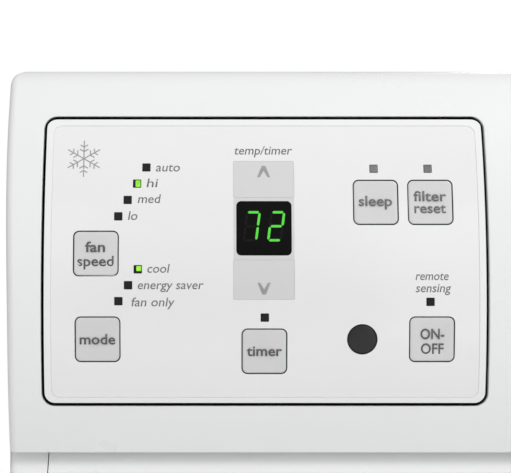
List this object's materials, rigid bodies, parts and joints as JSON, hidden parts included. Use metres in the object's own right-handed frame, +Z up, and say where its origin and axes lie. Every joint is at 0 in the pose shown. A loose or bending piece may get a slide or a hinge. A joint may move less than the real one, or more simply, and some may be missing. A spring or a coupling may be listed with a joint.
{
  "type": "window air conditioner",
  "caption": "Compact window air conditioner: bowed front with control panel, tilting intake grille, discharge louvres, steel cabinet, fan line and sliding side curtains.",
  "frame": {"origin": "bottom centre of the bounding box, on the surface that the base pan's runners stand on", "axes": "+Z up, -Y towards the room with the control panel and grille, +Y outdoors, +X to the right of a person who faces the front"},
  "size_m": [0.47, 0.546, 0.34],
  "materials": {
    "white_plastic": "glossy moulded ABS",
    "panel_plastic": "glossy moulded panel with a printed overlay",
    "button_plastic": "satin light grey",
    "smoked_window": "gloss black window",
    "black_lens": "gloss black lens",
    "light_guide": "dark translucent light guide",
    "circuit_board": "green board",
    "box_plastic": "flame retardant grey plastic",
    "painted_steel": "powder coated",
    "galvanised_steel": "zinc coated",
    "aluminium_fins": "mill finish",
    "copper": "bare copper tube",
    "foam": "moulded foam",
    "black_paint": "black enamel",
    "dark_plastic": "moulded plastic",
    "steel": "ground shaft",
    "rubber": "moulded rubber",
    "filter_mesh": "nylon mesh in a plastic frame",
    "curtain_vinyl": "pleated vinyl"
  },
  "bodies": {
    "chassis": {"front_frame": "white_plastic", "discharge_duct": "white_plastic", "control_bezel": "panel_plastic", "display_window": "smoked_window", "display_module": "black_lens", "receiver_lens": "black_lens", "fan_speed_light_guide": "light_guide", "mode_light_guide": "light_guide", "sleep_filter_light_guide": "light_guide", "timer_light_guide": "light_guide", "remote_light_guide": "light_guide", "control_board": "circuit_board", "control_box": "box_plastic", "cabinet_shell": "painted_steel", "top_sash_rail": "painted_steel", "base_pan": "galvanised_steel", "bulkhead": "galvanised_steel", "motor_bracket": "galvanised_steel", "evaporator_coil": "aluminium_fins", "condenser_coil": "aluminium_fins", "capacitor": "aluminium_fins", "suction_line": "copper", "hot_gas_line": "copper", "blower_scroll": "foam", "compressor": "black_paint", "condenser_shroud": "dark_plastic", "fan_motor": "dark_plastic", "rear_guard": "dark_plastic", "drain_plug": "rubber", "cord_gland": "rubber", "left_curtain": "curtain_vinyl", "right_curtain": "curtain_vinyl"},
    "fan_speed_button": {"fan_speed_button": "button_plastic"},
    "mode_button": {"mode_button": "button_plastic"},
    "timer_button": {"timer_button": "button_plastic"},
    "sleep_button": {"sleep_button": "button_plastic"},
    "filter_reset_button": {"filter_reset_button": "button_plastic"},
    "on_off_button": {"on_off_button": "button_plastic"},
    "temp_up_button": {"temp_up_button": "button_plastic"},
    "temp_down_button": {"temp_down_button": "button_plastic"},
    "intake_grille": {"intake_grille": "white_plastic"},
    "air_filter": {"air_filter": "filter_mesh"},
    "louvre_1": {"louvre_1": "white_plastic"},
    "louvre_2": {"louvre_2": "white_plastic"},
    "louvre_3": {"louvre_3": "white_plastic"},
    "louvre_4": {"louvre_4": "white_plastic"},
    "louvre_link": {"louvre_link": "white_plastic"},
    "left_vane_1": {"left_vane_1": "white_plastic"},
    "left_vane_2": {"left_vane_2": "white_plastic"},
    "left_vane_3": {"left_vane_3": "white_plastic"},
    "right_vane_1": {"right_vane_1": "white_plastic"},
    "right_vane_2": {"right_vane_2": "white_plastic"},
    "right_vane_3": {"right_vane_3": "white_plastic"},
    "left_vane_link": {"left_vane_link": "white_plastic"},
    "right_vane_link": {"right_vane_link": "white_plastic"},
    "left_curtain_frame": {"left_curtain_frame": "white_plastic"},
    "right_curtain_frame": {"right_curtain_frame": "white_plastic"},
    "fan_rotor": {"fan_shaft": "steel", "blower_wheel": "dark_plastic", "condenser_fan": "dark_plastic"}
  },
  "joints": [
    {"name": "fan_speed_press", "type": "slide", "parent": "chassis", "child": "fan_speed_button", "axis": [0, 1, 0], "range_m": [0, 0.0008], "stiffness_N_per_m": 2000},
    {"name": "mode_press", "type": "slide", "parent": "chassis", "child": "mode_button", "axis": [0, 1, 0], "range_m": [0, 0.0008], "stiffness_N_per_m": 2000},
    {"name": "timer_press", "type": "slide", "parent": "chassis", "child": "timer_button", "axis": [0, 1, 0], "range_m": [0, 0.0008], "stiffness_N_per_m": 2000},
    {"name": "sleep_press", "type": "slide", "parent": "chassis", "child": "sleep_button", "axis": [0, 1, 0], "range_m": [0, 0.0008], "stiffness_N_per_m": 2000},
    {"name": "filter_reset_press", "type": "slide", "parent": "chassis", "child": "filter_reset_button", "axis": [0, 1, 0], "range_m": [0, 0.0008], "stiffness_N_per_m": 2000},
    {"name": "on_off_press", "type": "slide", "parent": "chassis", "child": "on_off_button", "axis": [0, 1, 0], "range_m": [0, 0.0008], "stiffness_N_per_m": 2000},
    {"name": "temp_up_press", "type": "slide", "parent": "chassis", "child": "temp_up_button", "axis": [0, 1, 0], "range_m": [0, 0.0008], "stiffness_N_per_m": 2000},
    {"name": "temp_down_press", "type": "slide", "parent": "chassis", "child": "temp_down_button", "axis": [0, 1, 0], "range_m": [0, 0.0008], "stiffness_N_per_m": 2000},
    {"name": "grille_tilt", "type": "hinge", "parent": "chassis", "child": "intake_grille", "pos_m": [0, -0.26361, 0.0215], "axis": [1, 0, 0], "range_deg": [0, 35]},
    {"name": "filter_slide", "type": "slide", "parent": "chassis", "child": "air_filter", "axis": [1, 0, 0], "range_m": [0, 0.43]},
    {"name": "louvre_1_tilt", "type": "hinge", "parent": "chassis", "child": "louvre_1", "pos_m": [0, -0.253, 0.251], "axis": [1, 0, 0], "range_deg": [-25, 25]},
    {"name": "louvre_2_tilt", "type": "hinge", "parent": "chassis", "child": "louvre_2", "pos_m": [0, -0.253, 0.27], "axis": [1, 0, 0], "range_deg": [-25, 25]},
    {"name": "louvre_3_tilt", "type": "hinge", "parent": "chassis", "child": "louvre_3", "pos_m": [0, -0.253, 0.289], "axis": [1, 0, 0], "range_deg": [-25, 25]},
    {"name": "louvre_4_tilt", "type": "hinge", "parent": "chassis", "child": "louvre_4", "pos_m": [0, -0.253, 0.308], "axis": [1, 0, 0], "range_deg": [-25, 25]},
    {"name": "louvre_link_swing", "type": "hinge", "parent": "louvre_1", "child": "louvre_link", "pos_m": [0.207, -0.246, 0.251], "axis": [1, 0, 0], "range_deg": [-25, 25]},
    {"name": "left_vane_1_turn", "type": "hinge", "parent": "chassis", "child": "left_vane_1", "pos_m": [-0.044, -0.229, 0.28], "axis": [0, 0, 1], "range_deg": [-30, 30]},
    {"name": "left_vane_2_turn", "type": "hinge", "parent": "chassis", "child": "left_vane_2", "pos_m": [0.002, -0.229, 0.28], "axis": [0, 0, 1], "range_deg": [-30, 30]},
    {"name": "left_vane_3_turn", "type": "hinge", "parent": "chassis", "child": "left_vane_3", "pos_m": [0.048, -0.229, 0.28], "axis": [0, 0, 1], "range_deg": [-30, 30]},
    {"name": "left_vane_link_swing", "type": "hinge", "parent": "left_vane_1", "child": "left_vane_link", "pos_m": [-0.044, -0.222, 0.2436], "axis": [0, 0, 1], "range_deg": [-30, 30]},
    {"name": "right_vane_1_turn", "type": "hinge", "parent": "chassis", "child": "right_vane_1", "pos_m": [0.094, -0.229, 0.28], "axis": [0, 0, 1], "range_deg": [-30, 30]},
    {"name": "right_vane_2_turn", "type": "hinge", "parent": "chassis", "child": "right_vane_2", "pos_m": [0.14, -0.229, 0.28], "axis": [0, 0, 1], "range_deg": [-30, 30]},
    {"name": "right_vane_3_turn", "type": "hinge", "parent": "chassis", "child": "right_vane_3", "pos_m": [0.186, -0.229, 0.28], "axis": [0, 0, 1], "range_deg": [-30, 30]},
    {"name": "right_vane_link_swing", "type": "hinge", "parent": "right_vane_1", "child": "right_vane_link", "pos_m": [0.094, -0.222, 0.2436], "axis": [0, 0, 1], "range_deg": [-30, 30]},
    {"name": "fan_spin", "type": "hinge", "parent": "chassis", "child": "fan_rotor", "pos_m": [-0.02, 0, 0.15], "axis": [0, 1, 0], "continuous": true},
    {"name": "left_curtain_slide", "type": "slide", "parent": "chassis", "child": "left_curtain_frame", "axis": [-1, 0, 0], "range_m": [0, 0.19], "deforming": ["left_curtain"]},
    {"name": "right_curtain_slide", "type": "slide", "parent": "chassis", "child": "right_curtain_frame", "axis": [1, 0, 0], "range_m": [0, 0.19], "deforming": ["right_curtain"]}
  ],
  "couplings": [
    {"joint": "louvre_2_tilt", "follows": "louvre_1_tilt", "ratio": 1},
    {"joint": "louvre_3_tilt", "follows": "louvre_1_tilt", "ratio": 1},
    {"joint": "louvre_4_tilt", "follows": "louvre_1_tilt", "ratio": 1},
    {"joint": "louvre_link_swing", "follows": "louvre_1_tilt", "ratio": -1},
    {"joint": "left_vane_2_turn", "follows": "left_vane_1_turn", "ratio": 1},
    {"joint": "left_vane_3_turn", "follows": "left_vane_1_turn", "ratio": 1},
    {"joint": "left_vane_link_swing", "follows": "left_vane_1_turn", "ratio": -1},
    {"joint": "right_vane_2_turn", "follows": "right_vane_1_turn", "ratio": 1},
    {"joint": "right_vane_3_turn", "follows": "right_vane_1_turn", "ratio": 1},
    {"joint": "right_vane_link_swing", "follows": "right_vane_1_turn", "ratio": -1}
  ]
}
